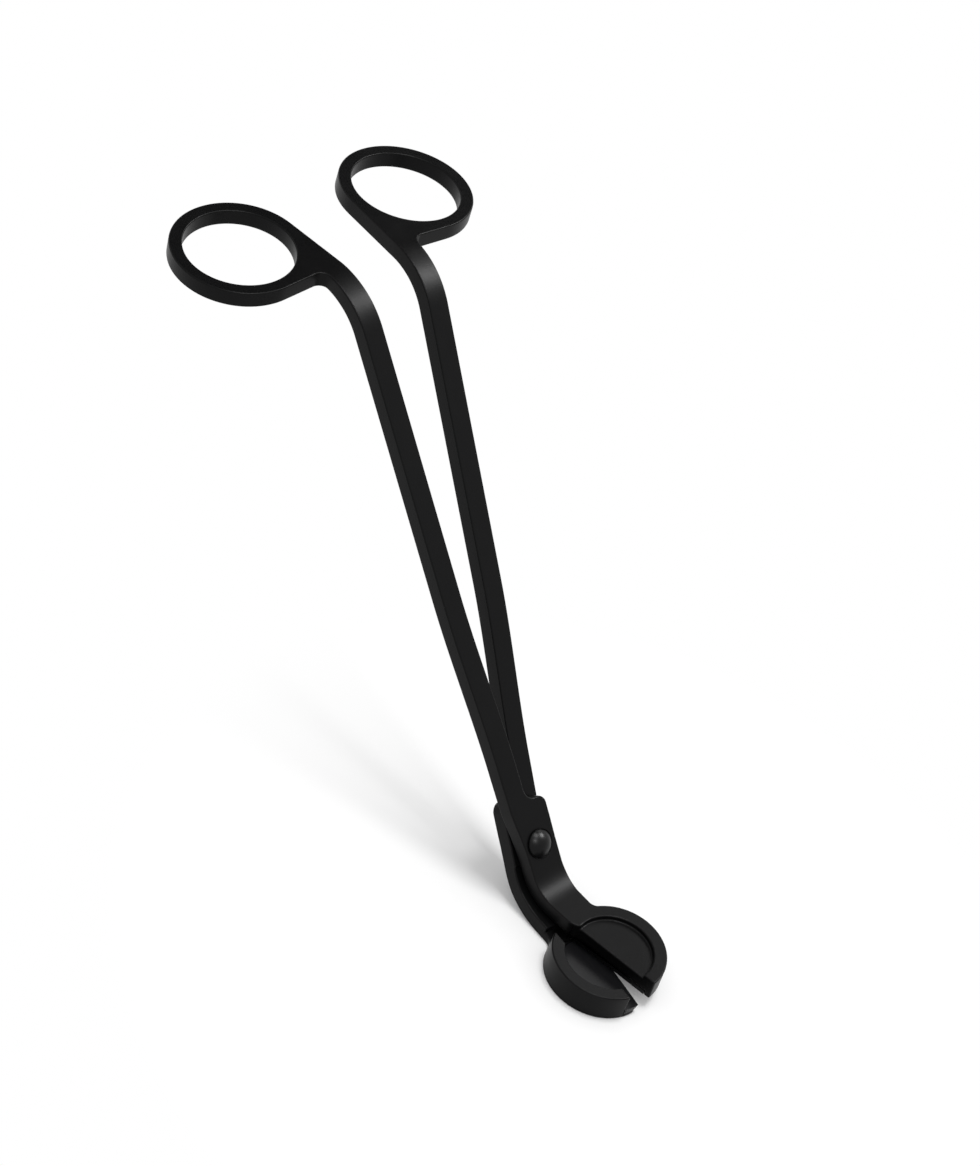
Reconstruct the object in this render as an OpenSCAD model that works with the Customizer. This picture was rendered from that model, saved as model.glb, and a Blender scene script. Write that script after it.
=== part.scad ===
// Wick trimmer: two arms crossed on one rivet. Each arm is a flat bar with a finger loop at
// its upper end and half of a round head at its lower end. The lower arm's half is a tray
// with a raised rim, which catches the trimmed wick. The upper arm's half closes over it.
//
// X runs across the tool, +Y towards the finger loops and +Z up. The origin is under the
// middle of the lower arm's head, on the face that the head rests on. The lower arm lies
// square in this frame, and the upper arm is turned about the rivet by the opening angle.

/* [Pose] */
// Angle between the arms, where 0 is shut
open_angle = 6.4; // [0:0.1:20]

/* [Bar] */
// Width of the bar
bar_w = 5; // [4:0.1:6.5]
// Thickness of the bar
bar_t = 3.6; // [3:0.1:4.5]
// Straight length from the rivet to the start of the loop bend
shank_len = 114.5; // [80:0.5:160]
// Gap between the two bars when the tool is shut
shank_gap = 0.2; // [0.2:0.1:1]
// Where the bar starts to step down to the height of the other bar
jog_start = 16; // [15.5:0.5:24]
// Where that step ends
jog_end = 34; // [30:0.5:60]

/* [Finger loops] */
// Diameter of the finger hole
loop_hole_d = 23.4; // [18:0.1:30]
// Width of the ring around the hole
loop_rim_w = 2.8; // [2:0.1:5]
// Angle that the loops are bent down from the bar
loop_bend = 53; // [20:1:70]
// Radius of that bend, at the middle of the bar
loop_bend_r = 16; // [8:0.5:24]
// Distance from each loop to the plane where the shut arms meet
loop_gap = 0.7; // [0.3:0.1:2]
// Radius of the inside corner between a loop and its bar
loop_fillet_r = 2.2; // [1:0.1:3]

/* [Lap and neck] */
// Gap between the arms where they cross
lap_gap = 0.3; // [0.3:0.05:0.5]
// Height of the shoulder above the rivet, along the bar
shoulder_y = 9.6; // [8:0.1:11]
// Reach of the shoulder past the middle of the tool
shoulder_w = 4.8; // [4.4:0.1:6]
// Radius of the shoulder's corner and of the hollow beside it
shoulder_r = 2.2; // [1:0.1:2.6]
// Distance from the rivet to the start of the neck bend
neck_start = 5.4; // [5:0.1:8]
// Angle that the head is bent up from the bar
neck_bend = 48; // [30:1:60]
// Radius of that bend, midway between the arms
neck_bend_r = 13.4; // [10:0.1:18]
// Reach of the neck from the middle on the side away from the head half
neck_back = 3.8; // [3:0.1:4.5]
// Reach of the neck from the middle on the side of the head half
neck_front = 4.1; // [3:0.1:4.3]
// Depth taken off the lower neck so that the upper one can swing over it
neck_relief = 0.3; // [0.3:0.05:0.6]

/* [Head] */
// Diameter of the round head
head_d = 22; // [18:0.5:30]
// Width of the head's rim
rim_w = 2.9; // [2:0.1:4]
// Distance from the end of the neck bend to the middle of the head
head_reach = 15.2; // [14:0.1:22]
// Radius of the inside corner between the neck and the head
head_fillet_r = 2; // [1:0.1:3]
// Height of the upper half
upper_head_h = 5.2; // [4.8:0.1:6]
// Depth of the upper half's recess
upper_recess = 1.1; // [0.6:0.1:1.6]
// Height of the lower half with its rim
lower_head_h = 6.3; // [5:0.1:8]
// Place of the upper half's cut face at the middle of the head
upper_cut = -0.7; // [-1.5:0.1:0]
// Slant of the upper half's cut face, in degrees
upper_slant = 8.5; // [0:0.5:10]
// Place of the lower blade's edge at the middle of the head
lower_cut = -3.2; // [-4:0.1:-2]
// Slant of the lower blade's edge, in degrees
lower_slant = 6.3; // [0:0.1:10]
// Where the tray's rim ends at the tip, from the middle
rim_end_tip = 1.9; // [1.5:0.1:4]
// Where the tray's rim ends beside the neck, from the middle
rim_end_neck = 5.4; // [5.2:0.1:7]

/* [Blades] */
// Thickness of both blade plates
blade_t = 1.2; // [0.8:0.1:1.5]
// Height of the gap between the two blades
shear_gap = 0.12; // [0.1:0.01:0.3]
// Play around each blade plate in its seat
blade_play = 0.05; // [0.05:0.01:0.1]
// How far the lower blade's edge stands out from the plate that carries it
blade_overhang = 0.8; // [0.4:0.1:1.2]
// Height of the bevel under the lower blade's edge
blade_bevel = 0.7; // [0.3:0.1:0.9]

/* [Rivet] */
// Diameter of the rivet's shank
rivet_d = 3.1; // [2.5:0.1:3.5]
// Play between the rivet and its holes, on the radius
rivet_play = 0.05; // [0.02:0.01:0.08]
// Diameter of the domed head
rivet_head_d = 6.4; // [5:0.1:7]
// Height of the domed head
rivet_head_h = 1.6; // [1:0.1:2]
// Gap under the domed head
rivet_head_gap = 0.05; // [0.03:0.01:0.1]
// Diameter of the flat tail under the lower arm
rivet_tail_d = 5; // [4:0.1:6]
// Height of the flat tail
rivet_tail_h = 0.8; // [0.5:0.1:1.5]
// Diameter of the washer between the arms
washer_d = 7; // [6:0.1:8]
// Gap between the washer and the upper arm
washer_gap = 0.05; // [0.03:0.01:0.1]

/* [Hidden] */
$fn = 96;

arm_black = [0.11, 0.11, 0.12];
blade_black = [0.14, 0.14, 0.15];
rivet_black = [0.09, 0.09, 0.10];

head_r = head_d / 2;
recess_r = head_r - rim_w;
loop_r = loop_hole_d / 2 + loop_rim_w;
loop_x = -loop_gap - loop_r;
bar_in = -shank_gap / 2;
bar_out = bar_in - bar_w;
bore_d = rivet_d + 2 * rivet_play;

// Heights above the plane midway between the crossed arms
lap_level = (lap_gap + bar_t) / 2;
stack_top = lap_gap / 2 + bar_t;
upper_head_z = stack_top - upper_head_h;
floor_z = upper_head_z - shear_gap;
head_clearance = 1;

// A flat plate stands one step inside the faces of the bend that it is rooted in
step = 0.04;
root = 0.6;
// Rounded inside corners are this much wider than tangent, so that their ends stay crisp
corner_ease = 0.08;
eps = 0.01;

// Place of the head's middle in the bar's frame, on the plane midway between the arms
head_along = neck_start + neck_bend_r * sin(neck_bend) + head_reach * cos(neck_bend);
head_up = neck_bend_r * (1 - cos(neck_bend)) + head_reach * sin(neck_bend);

// Puts the bar's frame (Y along the bar, Z out of its flat face, origin on the rivet's
// axis midway between the arms) into the part's frame
module bar_frame() {
    translate([0, 0, stack_top]) rotate([neck_bend, 0, 0]) translate([0, head_along, -head_up])
        children();
}

// Goes from the bar's frame to the head's: origin at the head's middle, Z square to the head
module head_frame() {
    translate([0, -head_along, head_up]) rotate([-neck_bend, 0, 0]) children();
}

// Goes from the bar's frame to the loop plate's: origin at the end of the loop bend
module loop_frame() {
    translate([0, shank_len, -loop_bend_r]) rotate([-loop_bend, 0, 0]) translate([0, 0, loop_bend_r])
        children();
}

// Stretches a side outline, drawn as along and up, across the bar from x0 to x1
module across(x0, x1) {
    translate([x0, 0, 0]) rotate([90, 0, 90]) linear_extrude(x1 - x0) children();
}

// A flat plate from z0 to z1
module plate(z0, z1) {
    translate([0, 0, z0]) linear_extrude(z1 - z0) children();
}

// Part of a ring between two angles less than 90 degrees apart
module ring_sector(r_in, r_out, a0, a1) {
    reach = 2 * r_out;
    mid = (a0 + a1) / 2;
    intersection() {
        difference() {
            circle(r_out);
            circle(r_in);
        }
        polygon([[0, 0], reach * [cos(a0), sin(a0)], reach * [cos(mid), sin(mid)],
            reach * [cos(a1), sin(a1)]]);
    }
}

// The lapped plate around the rivet, with its shoulder
module pivot_outline() {
    polygon([[bar_in, jog_start], [bar_out, jog_start], [bar_out, shoulder_y + shoulder_r],
        [-neck_back, -1], [-neck_back, -neck_start], [neck_front, -neck_start],
        [shoulder_w, 0], [shoulder_w, shoulder_y - shoulder_r],
        [shoulder_w - shoulder_r, shoulder_y], [bar_in, shoulder_y]]);
    translate([shoulder_w - shoulder_r, shoulder_y - shoulder_r]) circle(shoulder_r);
    difference() {
        translate([bar_in - root, shoulder_y - root]) square(shoulder_r + root);
        translate([bar_in + shoulder_r, shoulder_y + shoulder_r]) circle(shoulder_r + corner_ease);
    }
}

// The side of the bar from the lap to the loop bend, stepping from the lap's level to zero
module shank_side(level) {
    half = bar_t / 2;
    polygon([[jog_start, level - half], [jog_end, -half], [shank_len, -half],
        [shank_len, half], [jog_end, half], [jog_start, level + half]]);
}

// The loop's flat plate, with its inner side running straight to the bar, and a tongue
// that roots it in the bend
module loop_outline() {
    inner = bar_in - step;
    from = [inner - loop_x, -loop_r];
    turn = atan2(from.y, from.x) + acos(loop_r / norm(from));
    touch = [loop_x, loop_r] + (loop_r - step) * [cos(turn), sin(turn)];
    difference() {
        union() {
            translate([loop_x, loop_r]) circle(loop_r);
            polygon([[inner, -root], [inner, 0], touch, [loop_x, loop_r], [loop_x, 0],
                [bar_out - loop_fillet_r / 2, 0], [bar_out, -root]]);
        }
        translate([loop_x, loop_r]) circle(d = loop_hole_d);
    }
}

// The web that rounds the corner between a loop and the outside of its bar
module loop_corner() {
    hollow = [bar_out - loop_fillet_r, -loop_fillet_r];
    intersection() {
        loop_bend(bar_out - loop_fillet_r, bar_in - root);
        loop_frame() plate(-bar_t, bar_t) difference() {
            translate(hollow) square([loop_fillet_r + root, loop_fillet_r + 1]);
            translate(hollow) circle(loop_fillet_r + corner_ease);
        }
    }
}

// The bend between bar and loop, from x0 to x1
module loop_bend(x0, x1) {
    half = bar_t / 2;
    translate([0, shank_len, -loop_bend_r]) across(x0, x1)
        ring_sector(loop_bend_r - half, loop_bend_r + half, 90 - loop_bend, 90);
}

// The small web in the corner between the neck's edge and the round head
module head_fillet() {
    side = neck_front + head_fillet_r;
    reach = head_r + head_fillet_r;
    middle = [side, sqrt(reach * reach - side * side)];
    difference() {
        polygon([[neck_front - 1, middle.y], middle, middle * 0.7, [neck_front - 1, middle.y * 0.7]]);
        translate(middle) circle(head_fillet_r + corner_ease);
    }
}

// Bar, loop and lapped plate of one arm, with its loop at -X and its head side at +X
module bar_and_loop(level) {
    half = bar_t / 2;
    plate(level - half, level + half) pivot_outline();
    across(bar_out, bar_in) shank_side(level);
    loop_bend(bar_out, bar_in);
    loop_corner();
    loop_frame() plate(step - half, half - step) loop_outline();
}

// Bend and straight of the neck, whose faces are low and high above the middle plane
module neck(low, high) {
    translate([0, -neck_start, neck_bend_r]) across(-neck_back, neck_front)
        ring_sector(neck_bend_r - high, neck_bend_r - low, 270 - neck_bend, 270);
    head_frame() plate(low + step, high - step) translate([step - neck_back, head_r - 2])
        square([neck_back + neck_front - 2 * step, head_reach - head_r + 2 + root]);
}

// Hole for the rivet through everything at the lap
module rivet_bore() {
    cylinder(d = bore_d, h = 4 * stack_top, center = true);
}

// Where an edge that is at place x in the middle and slants by angle lies at height y
function edge_x(x, angle, y) = x - y * tan(angle);

// Everything on the head's side of a slanting edge
module beyond_edge(x, angle) {
    far = 2 * head_r;
    polygon([[edge_x(x, angle, far), far], [edge_x(x, angle, -far), -far], [far, -far], [far, far]]);
}

// The upper half of the head, seen square on, with the corner that runs into the neck
module upper_half_outline() {
    corner_y = 0.72 * head_r;
    intersection() {
        circle(head_r);
        union() {
            beyond_edge(upper_cut, upper_slant);
            polygon([[-neck_back, head_r], [-neck_back, head_r - 1.6],
                [edge_x(upper_cut, upper_slant, corner_y), corner_y], [1, corner_y], [1, head_r]]);
        }
    }
}

module upper_head() {
    difference() {
        plate(upper_head_z, stack_top) upper_half_outline();
        translate([0, 0, stack_top - upper_recess]) cylinder(r = recess_r, h = upper_recess + 1);
        translate([0, 0, upper_head_z - 1]) cylinder(r = upper_blade_r() + blade_play, h = blade_t + 1);
    }
}

function upper_blade_r() = head_r - rim_w / 2;

// The lower blade plate: a disc inside the rim and a band that runs out to the tip
module lower_blade_outline(play) {
    intersection() {
        circle(head_r);
        union() {
            circle(recess_r - play);
            translate([-head_r, -head_r - 1])
                square([head_r + rim_end_tip - play, head_r + 1 + recess_r - play]);
        }
    }
}

module lower_head() {
    difference() {
        union() {
            plate(-stack_top, floor_z) intersection() {
                circle(head_r);
                beyond_edge(lower_cut + blade_overhang, lower_slant);
            }
            plate(-stack_top, lower_head_h - stack_top) difference() {
                circle(head_r);
                circle(recess_r);
                translate([-head_r, 0]) square([head_r + rim_end_neck, head_r]);
                translate([-head_r, -head_r]) square([head_r + rim_end_tip, head_r]);
            }
        }
        plate(floor_z - blade_t, stack_top) lower_blade_outline(0);
        corner_sweep();
    }
}

// Room over the lower neck for the upper half to swing through
module head_sweep() {
    translate([0, 0, floor_z]) cylinder(r = head_r + head_clearance, h = 2 * stack_top);
    corner_sweep();
}

// Shallow step beside the neck for the upper half's corner, which dips as it swings
module corner_sweep() {
    translate([-head_r, recess_r + 2 * neck_relief, floor_z - neck_relief])
        cube([head_r + rim_end_neck - neck_relief, rim_w + head_clearance, 2 * stack_top]);
}

// Turns what it holds about the rivet, as the upper arm swings
module opened(angle) {
    rotate([0, 0, angle]) children();
}

module upper_arm() {
    color(arm_black) bar_frame() opened(open_angle) difference() {
        union() {
            bar_and_loop(lap_level);
            neck(lap_gap / 2, stack_top);
            head_frame() {
                upper_head();
                plate(lap_gap / 2, stack_top) head_fillet();
            }
        }
        rivet_bore();
    }
}

module lower_arm() {
    low_neck_top = -lap_gap / 2 - neck_relief;
    color(arm_black) bar_frame() mirror([1, 0, 0]) difference() {
        union() {
            bar_and_loop(-lap_level);
            difference() {
                union() {
                    neck(-stack_top, low_neck_top);
                    head_frame() plate(-stack_top, low_neck_top) head_fillet();
                }
                head_frame() head_sweep();
            }
            head_frame() lower_head();
        }
        rivet_bore();
    }
}

module upper_blade() {
    color(blade_black) bar_frame() opened(open_angle) head_frame()
        plate(upper_head_z, upper_head_z + blade_t) intersection() {
            circle(upper_blade_r());
            beyond_edge(upper_cut, upper_slant);
        }
}

module lower_blade() {
    edge = [edge_x(lower_cut, lower_slant, 0), 0, floor_z - blade_t];
    color(blade_black) bar_frame() mirror([1, 0, 0]) head_frame() difference() {
        plate(floor_z - blade_t, floor_z) intersection() {
            lower_blade_outline(blade_play);
            beyond_edge(lower_cut, lower_slant);
        }
        translate(edge) rotate([0, 0, lower_slant]) rotate([0, 45, 0])
            cube([blade_bevel * sqrt(2), 4 * head_r, blade_bevel * sqrt(2)], center = true);
    }
}

module pivot_rivet() {
    cap_r = (rivet_head_d * rivet_head_d / 4 + rivet_head_h * rivet_head_h) / (2 * rivet_head_h);
    seat = stack_top + rivet_head_gap;
    color(rivet_black) bar_frame() {
        translate([0, 0, -stack_top - rivet_tail_h]) cylinder(d = rivet_tail_d, h = rivet_tail_h);
        translate([0, 0, -stack_top - eps]) cylinder(d = rivet_d, h = stack_top + seat + 2 * eps);
        intersection() {
            translate([0, 0, seat + rivet_head_h - cap_r]) sphere(cap_r);
            translate([0, 0, seat]) cylinder(d = rivet_head_d + 1, h = rivet_head_h + 1);
        }
    }
}

module pivot_washer() {
    color(blade_black) bar_frame() difference() {
        translate([0, 0, -lap_gap / 2]) cylinder(d = washer_d, h = lap_gap - washer_gap);
        rivet_bore();
    }
}

lower_arm();
lower_blade();
pivot_rivet();
pivot_washer();
upper_arm();
upper_blade();
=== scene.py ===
"""Looks of a black wick trimmer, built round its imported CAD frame.

Each arm is modelled flat, as a blank on the bench, with its edges rounded. Its neck and its
finger loop are then bent, and it is set on the rivet. Lengths are in millimetres until
a piece is placed, which also brings it to metres.
"""

import logging
import math
from dataclasses import dataclass
from enum import Enum

import bpy
from mathutils import Euler, Matrix, Vector


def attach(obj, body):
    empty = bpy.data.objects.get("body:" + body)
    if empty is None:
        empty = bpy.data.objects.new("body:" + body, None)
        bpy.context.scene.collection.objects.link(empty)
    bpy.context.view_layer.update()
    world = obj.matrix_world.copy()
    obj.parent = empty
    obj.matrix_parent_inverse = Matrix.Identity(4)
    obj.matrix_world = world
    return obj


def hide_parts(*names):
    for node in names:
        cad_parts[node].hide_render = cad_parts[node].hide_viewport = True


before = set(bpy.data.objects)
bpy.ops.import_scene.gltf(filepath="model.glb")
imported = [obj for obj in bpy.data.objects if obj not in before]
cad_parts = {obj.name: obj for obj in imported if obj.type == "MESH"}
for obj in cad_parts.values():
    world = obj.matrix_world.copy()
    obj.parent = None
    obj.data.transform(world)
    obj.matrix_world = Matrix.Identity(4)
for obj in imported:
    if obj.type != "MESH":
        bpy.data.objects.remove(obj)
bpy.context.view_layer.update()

log = logging.getLogger("wick_trimmer")

MM = 0.001

Point = tuple[float, float]

# Limits that lie outside every blank, and how far a cutter stands out of one
WIDE: Point = (-50.0, 30.0)
FAR_Y = 200.0
CLEAR = 1.0


class Layer(Enum):
    """Which of the two crossed arms a piece belongs to, and the body that it rides on."""

    LOWER = "lower"
    UPPER = "upper"


def arc(middle: Point, radius: float, start: float, end: float, step: float = 3.75) -> list[Point]:
    """Points along a circular arc.

    Args:
        middle: Centre of the arc.
        radius: Its radius.
        start: Angle of the first point, in degrees.
        end: Angle of the last point, in degrees.
        step: Largest angle between two points.

    Returns:
        The points in order, both ends included.
    """
    count = max(2, math.ceil(abs(end - start) / step))
    angles = [math.radians(start + (end - start) * i / count) for i in range(count + 1)]
    return [(middle[0] + radius * math.cos(a), middle[1] + radius * math.sin(a)) for a in angles]


def shifted(points: list[Point], along: float) -> list[Point]:
    """The same points, moved along the bar."""
    return [(x, y + along) for x, y in points]


def across(place: float, slant: float, radius: float) -> list[Point]:
    """Both ends of a slanting edge across a circle, the tip's end last.

    Args:
        place: Where the edge passes the circle's middle.
        slant: Its slant, in degrees.
        radius: The circle's radius.

    Returns:
        The end towards the neck and the end at the tip.
    """
    lean = math.tan(math.radians(slant))
    a, b, c = 1 + lean * lean, -2 * place * lean, place * place - radius * radius
    root = math.sqrt(b * b - 4 * a * c)
    ys = ((-b + root) / (2 * a), (-b - root) / (2 * a))
    return [(place - y * lean, y) for y in ys]


def smooth(t: float) -> float:
    """Eases a value from 0 to 1."""
    t = min(1.0, max(0.0, t))
    return t * t * (3 - 2 * t)


class Bench:
    """Modelling steps that every piece is made with."""

    @staticmethod
    def clear() -> None:
        """Leaves edit mode and deselects everything."""
        if bpy.context.object and bpy.context.object.mode != "OBJECT":
            bpy.ops.object.mode_set(mode="OBJECT")
        bpy.ops.object.select_all(action="DESELECT")

    @classmethod
    def edit(cls, piece: bpy.types.Object) -> None:
        """Opens a piece in edit mode with all of it selected."""
        cls.pick(piece)
        bpy.ops.object.mode_set(mode="EDIT")
        bpy.ops.mesh.select_mode(type="VERT")
        bpy.ops.mesh.select_all(action="SELECT")

    @classmethod
    def pick(cls, piece: bpy.types.Object) -> None:
        """Makes a piece the only one selected."""
        cls.clear()
        bpy.context.view_layer.objects.active = piece
        piece.select_set(True)

    @classmethod
    def trace(cls, name: str, points: list[Vector]) -> bpy.types.Object:
        """Draws a line of edges by extruding one vertex, and leaves it open in edit mode.

        Args:
            name: Name of the new piece.
            points: Corners in order.

        Returns:
            The new piece.
        """
        cls.clear()
        bpy.ops.mesh.primitive_plane_add(size=1, location=(0, 0, 0))
        piece = bpy.context.object
        piece.name = name
        cls.edit(piece)
        bpy.ops.mesh.merge(type="CENTER")
        bpy.ops.transform.translate(value=points[0])
        for last, point in zip(points, points[1:]):
            bpy.ops.mesh.extrude_region_move(TRANSFORM_OT_translate={"value": point - last})
        bpy.ops.mesh.select_all(action="SELECT")
        return piece

    @classmethod
    def plate(cls, name: str, outline: list[Point], low: float, high: float) -> bpy.types.Object:
        """Traces an outline, fills it and gives it thickness.

        Args:
            name: Name of the new piece.
            outline: Corners in order, seen from above.
            low: Height of its underside.
            high: Height of its top.

        Returns:
            The new plate.
        """
        piece = cls.trace(name, [Vector((x, y, low)) for x, y in outline])
        bpy.ops.mesh.edge_face_add()
        bpy.ops.mesh.extrude_region_move(TRANSFORM_OT_translate={"value": (0, 0, high - low)})
        bpy.ops.mesh.select_all(action="SELECT")
        bpy.ops.mesh.normals_make_consistent(inside=False)
        bpy.ops.object.mode_set(mode="OBJECT")
        return piece

    @classmethod
    def turned(cls, name: str, profile: list[Point], steps: int = 72) -> bpy.types.Object:
        """Spins a profile, drawn as radius and height, round the upright axis."""
        piece = cls.trace(name, [Vector((r, 0, z)) for r, z in profile])
        bpy.ops.mesh.spin(steps=steps, angle=math.tau, center=(0, 0, 0), axis=(0, 0, 1))
        bpy.ops.mesh.select_all(action="SELECT")
        bpy.ops.mesh.remove_doubles(threshold=0.002)
        bpy.ops.mesh.normals_make_consistent(inside=False)
        bpy.ops.object.mode_set(mode="OBJECT")
        return piece

    @classmethod
    def block(cls, xs: Point, ys: Point, zs: Point) -> bpy.types.Object:
        """A cutter with straight sides between the given limits."""
        cls.clear()
        centre = [(a + b) / 2 for a, b in (xs, ys, zs)]
        bpy.ops.mesh.primitive_cube_add(size=1, location=centre)
        piece = bpy.context.object
        piece.scale = [b - a for a, b in (xs, ys, zs)]
        bpy.ops.object.transform_apply(location=True, rotation=False, scale=True)
        return piece

    @classmethod
    def drum(cls, middle: Point, radius: float, zs: Point, sides: int = 96) -> bpy.types.Object:
        """A round cutter that stands between two heights."""
        cls.clear()
        place = (middle[0], middle[1], sum(zs) / 2)
        bpy.ops.mesh.primitive_cylinder_add(
            vertices=sides, radius=radius, depth=zs[1] - zs[0], location=place
        )
        bpy.ops.object.transform_apply(location=True, rotation=False, scale=False)
        return bpy.context.object

    @classmethod
    def carve(cls, piece: bpy.types.Object, cutter: bpy.types.Object) -> None:
        """Cuts one piece out of another, and throws the cutter away."""
        cls.pick(piece)
        tool = piece.modifiers.new("carve", "BOOLEAN")
        tool.operation = "DIFFERENCE"
        tool.solver = "EXACT"
        tool.object = cutter
        bpy.ops.object.modifier_apply(modifier=tool.name)
        bpy.data.objects.remove(cutter)

    @classmethod
    def soften(
        cls, piece: bpy.types.Object, width: float, segments: int = 3, sharp: float = 40
    ) -> None:
        """Rounds every edge that is sharper than an angle, in degrees."""
        cls.edit(piece)
        bpy.ops.mesh.remove_doubles(threshold=0.003)
        bpy.ops.mesh.dissolve_limited(angle_limit=math.radians(0.4))
        bpy.ops.mesh.normals_make_consistent(inside=False)
        bpy.ops.mesh.select_all(action="DESELECT")
        bpy.ops.mesh.select_mode(type="EDGE")
        bpy.ops.mesh.edges_select_sharp(sharpness=math.radians(sharp))
        bpy.ops.mesh.bevel(offset=width, segments=segments, affect="EDGES", clamp_overlap=False)
        bpy.ops.object.mode_set(mode="OBJECT")

    @classmethod
    def slice(cls, piece: bpy.types.Object, start: float, end: float, count: int) -> None:
        """Adds evenly spaced cuts across a piece, so that it can be bent there."""
        cls.edit(piece)
        for i in range(count + 1):
            place = start + (end - start) * i / count
            bpy.ops.mesh.select_all(action="SELECT")
            bpy.ops.mesh.bisect(plane_co=(0, place, 0), plane_no=(0, 1, 0))
        bpy.ops.object.mode_set(mode="OBJECT")

    @classmethod
    def finish(cls, piece: bpy.types.Object, angle: float = 35) -> None:
        """Points the faces outwards and shades rounded edges smoothly into the flats."""
        cls.edit(piece)
        bpy.ops.mesh.remove_doubles(threshold=1e-6)
        bpy.ops.mesh.normals_make_consistent(inside=False)
        bpy.ops.object.mode_set(mode="OBJECT")
        bpy.ops.object.shade_smooth_by_angle(angle=math.radians(angle))
        weight = piece.modifiers.new("weight", "WEIGHTED_NORMAL")
        weight.keep_sharp = True
        bpy.ops.object.modifier_apply(modifier=weight.name)


@dataclass(frozen=True)
class Bends:
    """The bends that both arms share, and where the arms stand in the part's frame."""

    stack_top: float = 3.75
    lap_level: float = 1.95
    jog_start: float = 16.0
    jog_end: float = 56.0
    shank_len: float = 114.5
    loop_bend: float = 53.0
    loop_bend_r: float = 16.0
    neck_start: float = 5.4
    neck_bend: float = 48.0
    neck_bend_r: float = 13.4
    head_reach: float = 15.2
    open_angle: float = 6.4

    @property
    def neck_end(self) -> float:
        """Where the neck's bend ends on the flat blank."""
        return -self.neck_start - self.neck_bend_r * math.radians(self.neck_bend)

    @property
    def head_y(self) -> float:
        """Place of the head's middle on the flat blank."""
        return self.neck_end - self.head_reach

    @property
    def loop_start(self) -> float:
        """Where the loop's bend ends on the flat blank."""
        return self.shank_len + self.loop_bend_r * math.radians(self.loop_bend)

    def bent(self, p: Vector, layer: Layer) -> Vector:
        """Takes a point of a flat blank to its place on the bent arm."""
        x, y, z = p
        drop = self.lap_level * smooth((y - self.jog_start) / (self.jog_end - self.jog_start))
        z += -drop if layer is Layer.UPPER else drop
        if y > self.shank_len:
            run = y - self.shank_len
            turn = min(run / self.loop_bend_r, math.radians(self.loop_bend))
            rest = run - turn * self.loop_bend_r
            reach = self.loop_bend_r + z
            y = self.shank_len + reach * math.sin(turn) + rest * math.cos(turn)
            z = -self.loop_bend_r + reach * math.cos(turn) - rest * math.sin(turn)
        elif y < -self.neck_start:
            run = -self.neck_start - y
            turn = min(run / self.neck_bend_r, math.radians(self.neck_bend))
            rest = run - turn * self.neck_bend_r
            reach = self.neck_bend_r - z
            y = -self.neck_start - reach * math.sin(turn) - rest * math.cos(turn)
            z = self.neck_bend_r - reach * math.cos(turn) + rest * math.sin(turn)
        return Vector((x, y, z))

    def standing(self) -> Matrix:
        """Takes the rivet's frame, with Y along the bars, to the part's frame in metres."""
        lean = math.radians(self.neck_bend)
        along = (
            self.neck_start
            + self.neck_bend_r * math.sin(lean)
            + self.head_reach * math.cos(lean)
        )
        up = self.neck_bend_r * (1 - math.cos(lean)) + self.head_reach * math.sin(lean)
        return (
            Matrix.Scale(MM, 4)
            @ Matrix.Translation((0, 0, self.stack_top))
            @ Matrix.Rotation(lean, 4, "X")
            @ Matrix.Translation((0, along, -up))
        )

    def side(self, layer: Layer) -> Matrix:
        """Opens the upper arm, or turns the lower arm into its mirror image."""
        if layer is Layer.UPPER:
            return Matrix.Rotation(math.radians(self.open_angle), 4, "Z")
        return Matrix.Scale(-1, 4, Vector((1, 0, 0)))

    def place(self, piece: bpy.types.Object, layer: Layer, flat: bool = True) -> None:
        """Bends a piece and sets it in the part's frame, with its place in its mesh.

        Args:
            piece: A piece in flat millimetres, or one that is straight in the rivet's frame.
            layer: The arm that it belongs to.
            flat: Whether it follows the bends and the side of that arm.
        """
        stand = self.standing()
        turn = stand @ self.side(layer) if flat else stand
        for vertex in piece.data.vertices:
            point = self.bent(vertex.co, layer) if flat else vertex.co
            vertex.co = turn @ point
        piece.data.update()


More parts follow.
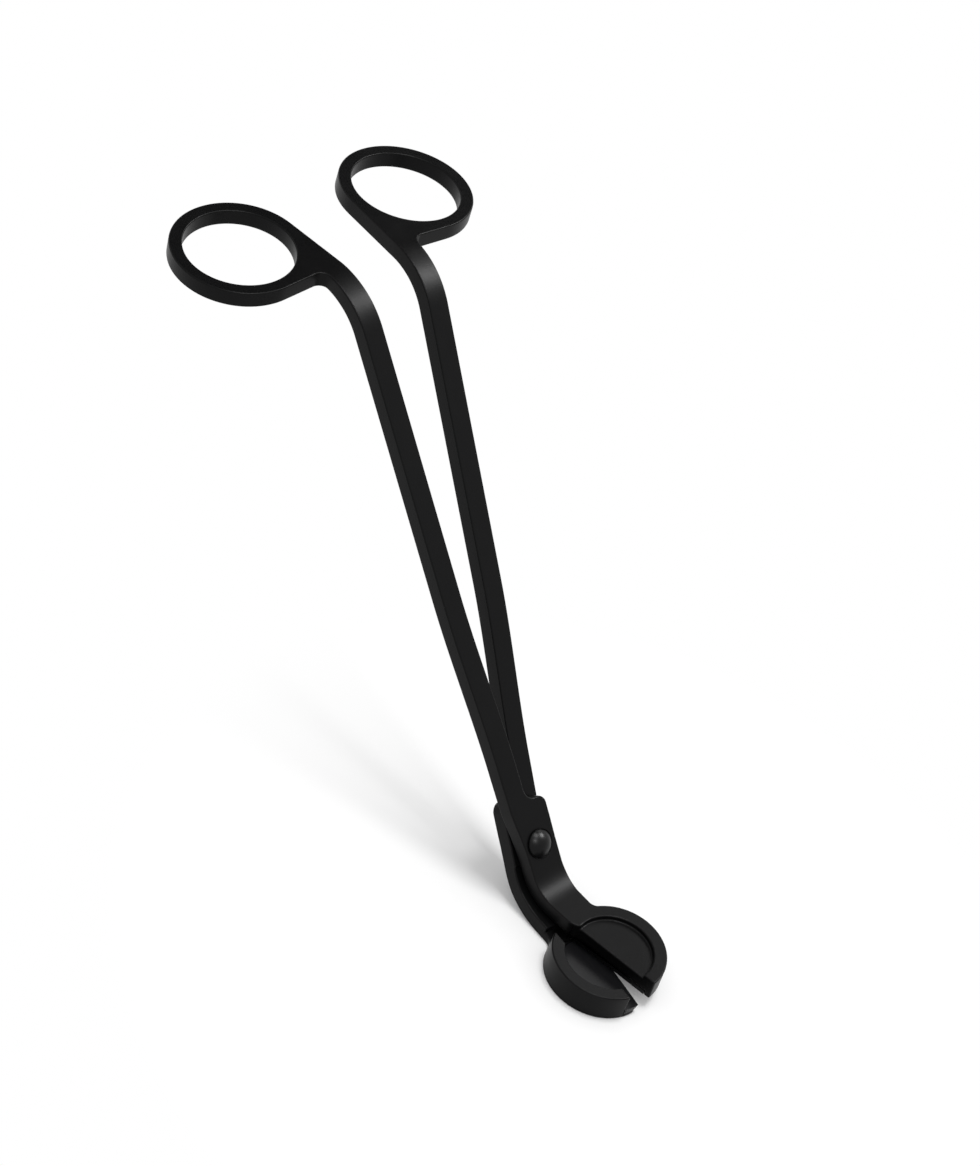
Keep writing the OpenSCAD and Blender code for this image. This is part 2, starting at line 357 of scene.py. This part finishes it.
@dataclass
class Arm:
    """What the two arms share: the bar, its finger loop and the outline of the lap."""

    name: str
    layer: Layer
    bends: Bends
    bar_in: float = -0.1
    bar_out: float = -5.1
    loop_hole_r: float = 11.7
    loop_rim_w: float = 2.8
    loop_gap: float = 0.7
    loop_fillet_r: float = 2.2
    shoulder_y: float = 9.6
    shoulder_x: float = 4.8
    shoulder_r: float = 2.2
    crook_r: float = 2.6
    neck_front: float = 4.1
    head_r: float = 11.4
    rim_w: float = 2.9
    head_fillet_r: float = 2.0
    bore_r: float = 1.6
    edge_r: float = 0.3
    neck_cuts: int = 22
    jog_cuts: int = 18
    loop_cuts: int = 26
    plate_low: float = 0.15
    plate_high: float = 3.75

    @property
    def loop_r(self) -> float:
        """Outer radius of the finger loop."""
        return self.loop_hole_r + self.loop_rim_w

    @property
    def loop_middle(self) -> Point:
        """Middle of the finger hole on the flat blank."""
        return (-self.loop_gap - self.loop_r, self.bends.loop_start + self.loop_r)

    @property
    def recess_r(self) -> float:
        """Inner radius of the head's rim."""
        return self.head_r - self.rim_w

    def fillet_middle(self) -> Point:
        """Middle of the inside corner between neck and head, from the head's middle."""
        side = self.neck_front + self.head_fillet_r
        reach = self.head_r + self.head_fillet_r
        return (side, math.sqrt(reach * reach - side * side))

    def front_side(self, tip: Point) -> list[Point]:
        """The outline from the tip, round the head and up the inner side to the loop."""
        hollow = self.fillet_middle()
        start = math.degrees(math.atan2(tip[1], tip[0]))
        end = math.degrees(math.atan2(hollow[1], hollow[0]))
        head = arc((0, 0), self.head_r, start, end)
        head += arc(hollow, self.head_fillet_r, end + 180, 180, 12)[1:]
        crown = (self.shoulder_x - self.shoulder_r, self.shoulder_y - self.shoulder_r)
        crook = (self.bar_in + self.crook_r, self.shoulder_y + self.crook_r)
        lap = [(4.15, -16.0), (4.3, -12.6), (4.5, -9.0), (4.55, -4.5), (4.6, 0.0), (4.75, 4.0)]
        lap += arc(crown, self.shoulder_r, 0, 90, 10)
        lap += arc(crook, self.crook_r, 270, 180, 10)
        return shifted(head, self.bends.head_y) + lap + [(self.bar_in, self.bends.jog_start)]

    def loop_side(self) -> list[Point]:
        """The outline round the finger loop and into the outer side of the bar."""
        middle = self.loop_middle
        start = self.bends.loop_start
        away = (self.bar_in - middle[0], start - middle[1])
        spread = math.acos(self.loop_r / math.hypot(*away))
        turn = math.degrees(math.atan2(away[1], away[0]) + spread)
        hollow = (self.bar_out - self.loop_fillet_r, start - self.loop_fillet_r)
        return (
            [(self.bar_in, start)]
            + arc(middle, self.loop_r, turn, 270)
            + arc(hollow, self.loop_fillet_r, 90, 0, 10)
        )

    def back_side(self) -> list[Point]:
        """The outer side of the bar, from the loop down to the neck."""
        return [
            (self.bar_out, self.bends.jog_start),
            (-5.0, 9.0),
            (-4.7, 6.0),
            (-4.3, 3.0),
            (-4.0, 0.0),
            (-3.85, -4.0),
            (-3.95, -9.0),
            (-3.9, -13.0),
            (-3.7, -17.5),
        ]

    def neck_corner(self) -> list[Point]:
        """The end of the neck's outer side, where the head's edge starts."""
        raise NotImplementedError

    def tip(self) -> Point:
        """The end of the head's edge, from the head's middle."""
        raise NotImplementedError

    def span(self) -> Point:
        """Lowest and highest level of the blank."""
        raise NotImplementedError

    def shape_head(self, blank: bpy.types.Object) -> None:
        """Cuts the head and neck out of a blank."""
        raise NotImplementedError

    def build(self) -> bpy.types.Object:
        """Cuts, rounds and bends the arm.

        Returns:
            The arm in its place, on its body, in the place of its CAD node.
        """
        head_y = self.bends.head_y
        outline = self.front_side(self.tip()) + self.loop_side() + self.back_side()
        outline += shifted(self.neck_corner(), head_y)
        low, high = self.span()
        blank = Bench.plate(self.name, outline, low, high)
        self.shape_head(blank)
        through = (low - CLEAR, high + CLEAR)
        Bench.carve(blank, Bench.drum(self.loop_middle, self.loop_hole_r, through))
        Bench.carve(blank, Bench.drum((0, 0), self.bore_r, through, 48))
        Bench.soften(blank, self.edge_r)
        Bench.slice(blank, self.bends.neck_end, -self.bends.neck_start, self.neck_cuts)
        Bench.slice(blank, self.bends.jog_start, self.bends.jog_end, self.jog_cuts)
        Bench.slice(blank, self.bends.shank_len, self.bends.loop_start, self.loop_cuts)
        self.bends.place(blank, self.layer)
        Bench.finish(blank)
        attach(blank, self.layer.value)
        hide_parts(f"{self.layer.value}_arm")
        return blank


@dataclass
class UpperArm(Arm):
    """The arm on top, whose half of the head is a slab with a shallow recess."""

    slab_low: float = -1.45
    cut_x: float = -0.7
    cut_slant: float = 8.5
    recess: float = 1.1
    blade_t: float = 1.2
    seat_r: float = 10.0
    slab_end: float = 10.0

    def tip(self) -> Point:
        """The end of the cut face at the tip."""
        return across(self.cut_x, self.cut_slant, self.head_r)[1]

    def neck_corner(self) -> list[Point]:
        """The rounded corner that runs from the neck into the cut face."""
        start = 8.2
        x = self.cut_x - start * math.tan(math.radians(self.cut_slant))
        return [(-3.5, 10.9), (-3.3, 10.0), (-2.9, 9.1), (-2.45, 8.55), (x, start)]

    def span(self) -> Point:
        """From the slab's underside to its top."""
        return (self.slab_low, self.plate_high)

    def shape_head(self, blank: bpy.types.Object) -> None:
        """Clears the underside of the bar, and cuts the recess and the blade's seat."""
        middle = (0.0, self.bends.head_y)
        under = (self.slab_low - CLEAR, self.plate_low)
        ys = (self.bends.head_y + self.slab_end, FAR_Y)
        Bench.carve(blank, Bench.block(WIDE, ys, under))
        top = (self.plate_high - self.recess, self.plate_high + CLEAR)
        Bench.carve(blank, Bench.drum(middle, self.recess_r, top, 128))
        seat = (self.slab_low - CLEAR, self.slab_low + self.blade_t)
        Bench.carve(blank, Bench.drum(middle, self.seat_r, seat, 128))


@dataclass
class LowerArm(Arm):
    """The arm below, whose half of the head is a tray with a tall rim."""

    plate_low: float = -3.75
    plate_high: float = -0.15
    rim_top: float = 2.55
    floor_top: float = -1.57
    blade_t: float = 1.2
    neck_relief: float = 0.3
    floor_x: float = -2.4
    floor_slant: float = 6.3
    rim_end_tip: float = 1.9
    rim_end_neck: float = 5.4
    sweep_y: float = 13.0
    step_y: float = 9.1
    relief_run: float = 1.7
    tray_y: float = 3.0
    tray_spare: float = 3.0
    tray_overlap: float = 0.5

    def tip(self) -> Point:
        """The end of the floor's edge at the tip."""
        return across(self.floor_x, self.floor_slant, self.head_r)[1]

    def neck_corner(self) -> list[Point]:
        """The end of the neck beside the tray's floor."""
        y = 9.3
        return [(-3.65, 10.0), (self.floor_x - y * math.tan(math.radians(self.floor_slant)), y)]

    def span(self) -> Point:
        """From the underside to the top of the tray's rim."""
        return (self.plate_low, self.rim_top)

    def shape_head(self, blank: bpy.types.Object) -> None:
        """Lowers the bar and the neck, and clears the tray inside its rim."""
        head_y = self.bends.head_y
        above = self.rim_top + CLEAR
        neck = -self.bends.neck_start
        Bench.carve(blank, Bench.block(WIDE, (neck, FAR_Y), (self.plate_high, above)))
        ys = (head_y + self.step_y + self.relief_run, neck + CLEAR)
        Bench.carve(blank, Bench.block(WIDE, ys, (self.plate_high - self.neck_relief, above)))
        far = self.head_r + self.tray_spare
        side = (-far, self.rim_end_neck)
        step = (head_y + self.step_y, head_y + self.sweep_y)
        low = self.floor_top - self.neck_relief
        Bench.carve(blank, Bench.block(side, step, (low, above)))
        ys = (head_y + self.tray_y, head_y + self.step_y + self.tray_overlap)
        Bench.carve(blank, Bench.block(side, ys, (self.floor_top, above)))
        corner = math.degrees(math.acos(self.rim_end_tip / self.recess_r))
        seat = [(self.rim_end_tip, -far)] + arc((0, 0), self.recess_r, -corner, 90)
        seat += [(-far, self.recess_r), (-far, -far)]
        cutter = Bench.plate("seat", shifted(seat, head_y), self.floor_top - self.blade_t, above)
        Bench.carve(blank, cutter)


@dataclass
class Blades:
    """The two thin cutting plates, one let into each half of the head."""

    bends: Bends
    head_r: float = 11.4
    thickness: float = 1.2
    edge_r: float = 0.08
    upper_r: float = 9.95
    upper_x: float = -0.7
    upper_slant: float = 8.5
    upper_low: float = -1.45
    lower_r: float = 8.45
    lower_x: float = -3.2
    lower_slant: float = 6.3
    lower_top: float = -1.57
    lower_flat: float = 0.12
    lower_tip_x: float = 1.85

    def upper(self) -> bpy.types.Object:
        """The half disc under the upper arm, flush with its cut face."""
        back, tip = across(self.upper_x, self.upper_slant, self.upper_r)
        angles = [math.degrees(math.atan2(p[1], p[0])) for p in (tip, back)]
        outline = shifted(arc((0, 0), self.upper_r, *angles), self.bends.head_y)
        blade = Bench.plate(
            "upper_cutting_blade", outline, self.upper_low, self.upper_low + self.thickness
        )
        Bench.soften(blade, self.edge_r, 2)
        return self.fit(blade, Layer.UPPER, "upper_blade")

    def lower(self) -> bpy.types.Object:
        """The disc in the tray, with a bevelled edge and a band that runs to the tip."""
        lean = math.radians(self.lower_slant)
        tip = across(self.lower_x, self.lower_slant, self.head_r)[1]
        band = math.degrees(math.asin(self.lower_tip_x / self.head_r))
        start = math.degrees(math.atan2(tip[1], tip[0]))
        inner = math.degrees(math.acos(self.lower_tip_x / self.lower_r))
        outline = arc((0, 0), self.head_r, start, -90 + band)
        outline += arc((0, 0), self.lower_r, -inner, 90)
        outline += [(-math.tan(lean) * self.lower_r + self.lower_x, self.lower_r)]
        low = self.lower_top - self.thickness
        blade = Bench.plate(
            "lower_cutting_blade", shifted(outline, self.bends.head_y), low, self.lower_top
        )
        Bench.edit(blade)
        bpy.ops.mesh.bisect(
            plane_co=(self.lower_x, self.bends.head_y, self.lower_top - self.lower_flat),
            plane_no=(-math.cos(lean), -math.sin(lean), -1.0),
            use_fill=True,
            clear_outer=True,
        )
        bpy.ops.object.mode_set(mode="OBJECT")
        Bench.soften(blade, self.edge_r * 0.6, 2)
        return self.fit(blade, Layer.LOWER, "lower_blade")

    def fit(self, blade: bpy.types.Object, layer: Layer, node: str) -> bpy.types.Object:
        """Sets a blade on its arm, in the place of its CAD node."""
        self.bends.place(blade, layer)
        Bench.finish(blade)
        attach(blade, layer.value)
        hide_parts(node)
        return blade


@dataclass
class Pivot:
    """The rivet that the arms turn on, and the washer between them."""

    bends: Bends
    rivet_r: float = 1.55
    head_r: float = 3.2
    head_h: float = 1.6
    head_gap: float = 0.05
    tail_r: float = 2.5
    tail_h: float = 0.8
    lip_r: float = 0.25
    lip_share: float = 0.6
    lip_start: float = 25.0
    bar_t: float = 3.6
    washer_r: float = 3.5
    washer_gap: float = 0.05
    washer_play: float = 0.05
    washer_edge_r: float = 0.04

    def rivet(self) -> bpy.types.Object:
        """A domed head and a flat tail on one shank."""
        seat = self.bends.stack_top + self.head_gap
        low = -self.bends.stack_top
        ball = (self.head_r**2 + self.head_h**2) / (2 * self.head_h)
        middle = seat + self.head_h - ball
        lip = self.lip_r
        edge = math.degrees(math.asin((self.head_r - self.lip_share * lip) / ball))
        dome = arc((0, middle), ball, 90, 90 - edge)
        dome += arc((self.head_r - lip, seat + lip), lip, self.lip_start, -90, 20)
        tail = arc((self.tail_r - lip, low - lip), lip, 90, 0, 20)
        tail += arc((self.tail_r - lip, low - self.tail_h + lip), lip, 0, -90, 20)
        profile = dome + [(self.rivet_r, seat), (self.rivet_r, low)] + tail
        profile += [(0.0, low - self.tail_h)]
        return self.fit(Bench.turned("domed_rivet", profile), "pivot_rivet")

    def washer(self) -> bpy.types.Object:
        """A thin ring between the two laps."""
        gap = self.bends.stack_top - self.bar_t
        piece = Bench.drum((0, 0), self.washer_r, (-gap, gap - self.washer_gap), 72)
        piece.name = "spacing_washer"
        hole_r = self.rivet_r + self.washer_play
        Bench.carve(piece, Bench.drum((0, 0), hole_r, (-CLEAR, CLEAR), 48))
        Bench.soften(piece, self.washer_edge_r, 2)
        return self.fit(piece, "pivot_washer")

    def fit(self, piece: bpy.types.Object, node: str) -> bpy.types.Object:
        """Sets a round piece on the rivet's axis, in the place of its CAD node."""
        self.bends.place(piece, Layer.LOWER, flat=False)
        Bench.finish(piece)
        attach(piece, Layer.LOWER.value)
        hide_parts(node)
        return piece


class Value:
    """A shader value whose Python arithmetic adds Math nodes."""

    def __init__(self, nodes: "Nodes", socket: bpy.types.NodeSocket) -> None:
        """Wraps an output socket."""
        self.nodes = nodes
        self.socket = socket

    def _math(self, operation: str, a: object, b: object) -> "Value":
        """One Math node on two values."""
        return self.nodes.add("ShaderNodeMath", {"operation": operation}, {0: a, 1: b})

    def __add__(self, other: object) -> "Value":
        """Sum of two values."""
        return self._math("ADD", self, other)

    __radd__ = __add__

    def __sub__(self, other: object) -> "Value":
        """This value less another."""
        return self._math("SUBTRACT", self, other)

    def __mul__(self, other: object) -> "Value":
        """Product of two values."""
        return self._math("MULTIPLY", self, other)

    __rmul__ = __mul__


class Nodes:
    """Adds nodes to one node tree."""

    def __init__(self, tree: bpy.types.NodeTree) -> None:
        """Starts on an emptied tree."""
        self.tree = tree
        tree.nodes.clear()

    def add(
        self,
        kind: str,
        settings: dict | None = None,
        inputs: dict | None = None,
        out: int | str = 0,
    ) -> Value:
        """Adds a node.

        Args:
            kind: The node's type.
            settings: Attributes that are set first.
            inputs: A number, colour or Value for each input socket, by name or index.
            out: The output that the result stands for.

        Returns:
            That output.
        """
        node = self.tree.nodes.new(kind)
        for key, value in (settings or {}).items():
            if key == "stops":
                for stop, (place, shade) in zip(node.color_ramp.elements, value):
                    stop.position = place
                    stop.color = (shade, shade, shade, 1)
            else:
                setattr(node, key, value)
        for key, value in (inputs or {}).items():
            if isinstance(value, Value):
                self.tree.links.new(value.socket, node.inputs[key])
            else:
                node.inputs[key].default_value = value
        return Value(self, node.outputs[out]) if node.outputs else Value(self, None)

    def place(self) -> Value:
        """The point on the piece, in metres."""
        return self.add("ShaderNodeTexCoord", out="Object")

    def noise(self, size: float, detail: float) -> Value:
        """Noise whose grains are about a size across, in millimetres."""
        inputs = {"Vector": self.place(), "Scale": 1 / (size * MM), "Detail": detail}
        return self.add("ShaderNodeTexNoise", {}, inputs)

    def ramp(self, value: Value, low: float, high: float) -> Value:
        """Stretches the part of a value between two limits over 0 to 1."""
        return self.add("ShaderNodeValToRGB", {"stops": ((low, 0), (high, 1))}, {"Fac": value})

    def mix(self, amount: object, a: tuple, b: tuple) -> Value:
        """Blends two colours."""
        inputs = {0: amount, 6: a, 7: b}
        return self.add("ShaderNodeMix", {"data_type": "RGBA"}, inputs, out=2)

    def bump(self, height: Value, depth: float) -> Value:
        """Raises the surface by a height map of a depth, in millimetres."""
        inputs = {"Height": height, "Distance": depth * MM, "Strength": 1.0}
        return self.add("ShaderNodeBump", {}, inputs)


@dataclass(frozen=True)
class Coating:
    """Baked black coating with a fine orange-peel grain."""

    slot: str = "black_arm"
    dark: tuple = (0.0017, 0.0017, 0.0018, 1)
    light: tuple = (0.0030, 0.0030, 0.0032, 1)
    rough: float = 0.34
    rough_spread: float = 0.10
    shine: float = 0.09
    cloud: float = 14.0
    patch: float = 5.0
    speck: float = 0.6
    speck_share: float = 0.4
    speck_rough: float = 0.04
    grain: float = 0.35
    grain_depth: float = 0.006

    def material(self) -> bpy.types.Material:
        """Builds the coating.

        Returns:
            The material.
        """
        material = bpy.data.materials.new(self.slot)
        material.use_nodes = True
        n = Nodes(material.node_tree)
        speck = n.noise(self.speck, 2)
        share = n.noise(self.cloud, 3) * (1 - self.speck_share) + speck * self.speck_share
        colour = n.mix(share, self.dark, self.light)
        patch = n.noise(self.patch, 3)
        rough = patch * self.rough_spread + (self.rough - self.rough_spread / 2)
        grain = n.bump(n.noise(self.grain, 2), self.grain_depth)
        inputs = {
            "Base Color": colour,
            "Roughness": rough + speck * self.speck_rough,
            "Normal": grain,
            "Specular IOR Level": self.shine,
        }
        shader = n.add("ShaderNodeBsdfPrincipled", {}, inputs)
        n.add("ShaderNodeOutputMaterial", {}, {"Surface": shader})
        return material


@dataclass(frozen=True)
class GroundSteel:
    """Steel with fine grinding marks along one direction, bare or darkened."""

    slot: str
    dark: tuple
    light: tuple
    metal: float
    rough: float
    shine: float = 0.5
    mark_scale: tuple = (9000, 300, 9000)
    mark_share: float = 0.6
    mark_rough: float = 0.16
    mark_depth: float = 0.003
    cloud: float = 4.0

    def material(self) -> bpy.types.Material:
        """Builds the ground finish.

        Returns:
            The material.
        """
        material = bpy.data.materials.new(self.slot)
        material.use_nodes = True
        n = Nodes(material.node_tree)
        along = n.add("ShaderNodeMapping", {}, {"Vector": n.place(), "Scale": self.mark_scale})
        marks = n.add("ShaderNodeTexNoise", {}, {"Vector": along, "Scale": 1.0, "Detail": 3})
        share = marks * self.mark_share + n.noise(self.cloud, 2) * (1 - self.mark_share)
        inputs = {
            "Base Color": n.mix(share, self.dark, self.light),
            "Metallic": self.metal,
            "Roughness": marks * self.mark_rough + (self.rough - self.mark_rough / 2),
            "Normal": n.bump(marks, self.mark_depth),
            "Specular IOR Level": self.shine,
        }
        shader = n.add("ShaderNodeBsdfPrincipled", {}, inputs)
        n.add("ShaderNodeOutputMaterial", {}, {"Surface": shader})
        return material


@dataclass(frozen=True)
class Studio:
    """Camera, floor, lamps and background."""

    camera_place: tuple = (-0.572128, -0.33569, 0.660721)
    camera_turn: tuple = (0.815956, -0.300762, -0.689673)
    lens: float = 138.146
    middle: tuple = (0.0, 0.04, 0.03)
    floor_size: float = 12.0
    floor_colour: tuple = (0.92, 0.92, 0.92, 1)
    glow: float = 0.1
    fade_start: float = 0.035
    fade_end: float = 0.105
    fill: float = 0.72

    def build(self) -> None:
        """Sets up everything that isn't part of the object."""
        self.camera()
        self.floor()
        self.world()
        self.lamp("overhead", (0.16, 0.05, 1.9), 0.55, 17.5)
        self.lamp("bend_light", (1.15, -0.17, 1.45), 0.5, 30.0, diffuse=False)
        self.lamp("front_light", (-0.55, -0.75, 1.7), 0.5, 13.0, diffuse=False)
        self.lamp("head_light", (0.217, 0.150, 0.230), 0.12, 0.15, diffuse=False)
        self.flag("dark_flag", (0.46, 0.46, 0.60), 0.75)

    def camera(self) -> None:
        """The camera at its place and angle."""
        lens = bpy.data.cameras.new("camera")
        lens.lens = self.lens
        lens.sensor_width = 36
        camera = bpy.data.objects.new("camera", lens)
        bpy.context.scene.collection.objects.link(camera)
        camera.location = self.camera_place
        camera.rotation_euler = self.camera_turn
        bpy.context.scene.camera = camera

    def lamp(
        self, name: str, place: tuple, size: float, power: float, diffuse: bool = True
    ) -> None:
        """A square softbox aimed at the object's middle."""
        light = bpy.data.lights.new(name, "AREA")
        light.size = size
        light.energy = power
        lamp = bpy.data.objects.new(name, light)
        bpy.context.scene.collection.objects.link(lamp)
        lamp.location = place
        lamp.rotation_euler = self.aim(place)
        lamp.visible_diffuse = diffuse

    def aim(self, place: tuple) -> Euler:
        """The turn that faces the object's middle from a place."""
        return (Vector(self.middle) - Vector(place)).to_track_quat("-Z", "Y").to_euler()

    def flag(self, name: str, place: tuple, size: float) -> None:
        """A dark card that only mirrored rays meet."""
        Bench.clear()
        bpy.ops.mesh.primitive_plane_add(size=size, location=place, rotation=self.aim(place))
        flag = bpy.context.object
        flag.name = name
        material = bpy.data.materials.new(name)
        material.use_nodes = True
        n = Nodes(material.node_tree)
        cloth = n.add("ShaderNodeBsdfDiffuse", {}, {"Color": (0.01, 0.01, 0.01, 1)})
        n.add("ShaderNodeOutputMaterial", {}, {"Surface": cloth})
        flag.data.materials.append(material)
        flag.visible_camera = flag.visible_diffuse = flag.visible_shadow = False

    def seen(self, n: Nodes) -> Value:
        """1 for rays that show the background: straight, mirrored or through glass."""
        path = "ShaderNodeLightPath"
        total = n.add(path, out="Is Camera Ray") + n.add(path, out="Is Glossy Ray")
        total = total + n.add(path, out="Is Transmission Ray")
        return n.add("ShaderNodeMath", {"operation": "MINIMUM"}, {0: total, 1: 1.0})

    def floor(self) -> None:
        """A pale floor that the object stands on, where shadows fade away from the head."""
        Bench.clear()
        bpy.ops.mesh.primitive_plane_add(size=self.floor_size)
        floor = bpy.context.object
        floor.name = "studio_floor"
        material = bpy.data.materials.new("studio_floor")
        material.use_nodes = True
        n = Nodes(material.node_tree)
        paint = n.add("ShaderNodeBsdfDiffuse", {}, {"Color": self.floor_colour})
        glow = n.add("ShaderNodeEmission", {}, {"Color": (1, 1, 1, 1), "Strength": 1.0})
        away = n.add("ShaderNodeVectorMath", {"operation": "LENGTH"}, {0: n.place()}, out="Value")
        fade = n.ramp(away, self.fade_start, self.fade_end)
        share = self.seen(n) * (fade * (1 - self.glow) + self.glow)
        shader = n.add("ShaderNodeMixShader", {}, {0: share, 1: paint, 2: glow})
        n.add("ShaderNodeOutputMaterial", {}, {"Surface": shader})
        floor.data.materials.append(material)

    def world(self) -> None:
        """A white background over a plain soft fill."""
        world = bpy.data.worlds.new("studio")
        bpy.context.scene.world = world
        world.use_nodes = True
        n = Nodes(world.node_tree)
        seen = self.seen(n)
        strength = seen * (1 - self.fill) + self.fill
        back = n.add("ShaderNodeBackground", {}, {"Color": (1, 1, 1, 1), "Strength": strength})
        n.add("ShaderNodeOutputWorld", {}, {"Surface": back})
        bpy.context.scene.view_settings.view_transform = "Standard"


def dress(piece: bpy.types.Object, material: bpy.types.Material, slot: str) -> None:
    """Gives a piece its finish and reports it."""
    piece.data.materials.clear()
    piece.data.materials.append(material)
    log.info("%s: %d vertices, finish %s", piece.name, len(piece.data.vertices), slot)


def main() -> None:
    """Builds and dresses each piece, then the studio."""
    logging.basicConfig(level=logging.INFO, format="%(name)s: %(message)s")
    bends = Bends()
    coating = Coating().material()
    rivet_coat = Coating(slot="black_rivet", rough=0.30, shine=0.14, grain_depth=0.002).material()
    blade = GroundSteel(
        slot="black_blade",
        dark=(0.003, 0.003, 0.0034, 1),
        light=(0.007, 0.007, 0.008, 1),
        metal=0.0,
        rough=0.32,
        shine=0.14,
    )
    steel = GroundSteel(
        slot="steel_washer",
        dark=(0.42, 0.42, 0.43, 1),
        light=(0.58, 0.58, 0.59, 1),
        metal=1.0,
        rough=0.3,
    )
    arms = (
        UpperArm("upper_scissor_arm", Layer.UPPER, bends),
        LowerArm("lower_scissor_arm", Layer.LOWER, bends),
    )
    for arm in arms:
        dress(arm.build(), coating, "black_arm")
    blades = Blades(bends)
    black = blade.material()
    for piece in (blades.upper(), blades.lower()):
        dress(piece, black, blade.slot)
    pivot = Pivot(bends)
    dress(pivot.rivet(), rivet_coat, "black_rivet")
    dress(pivot.washer(), steel.material(), steel.slot)
    Studio().build()


if __name__ == "__main__":
    main()
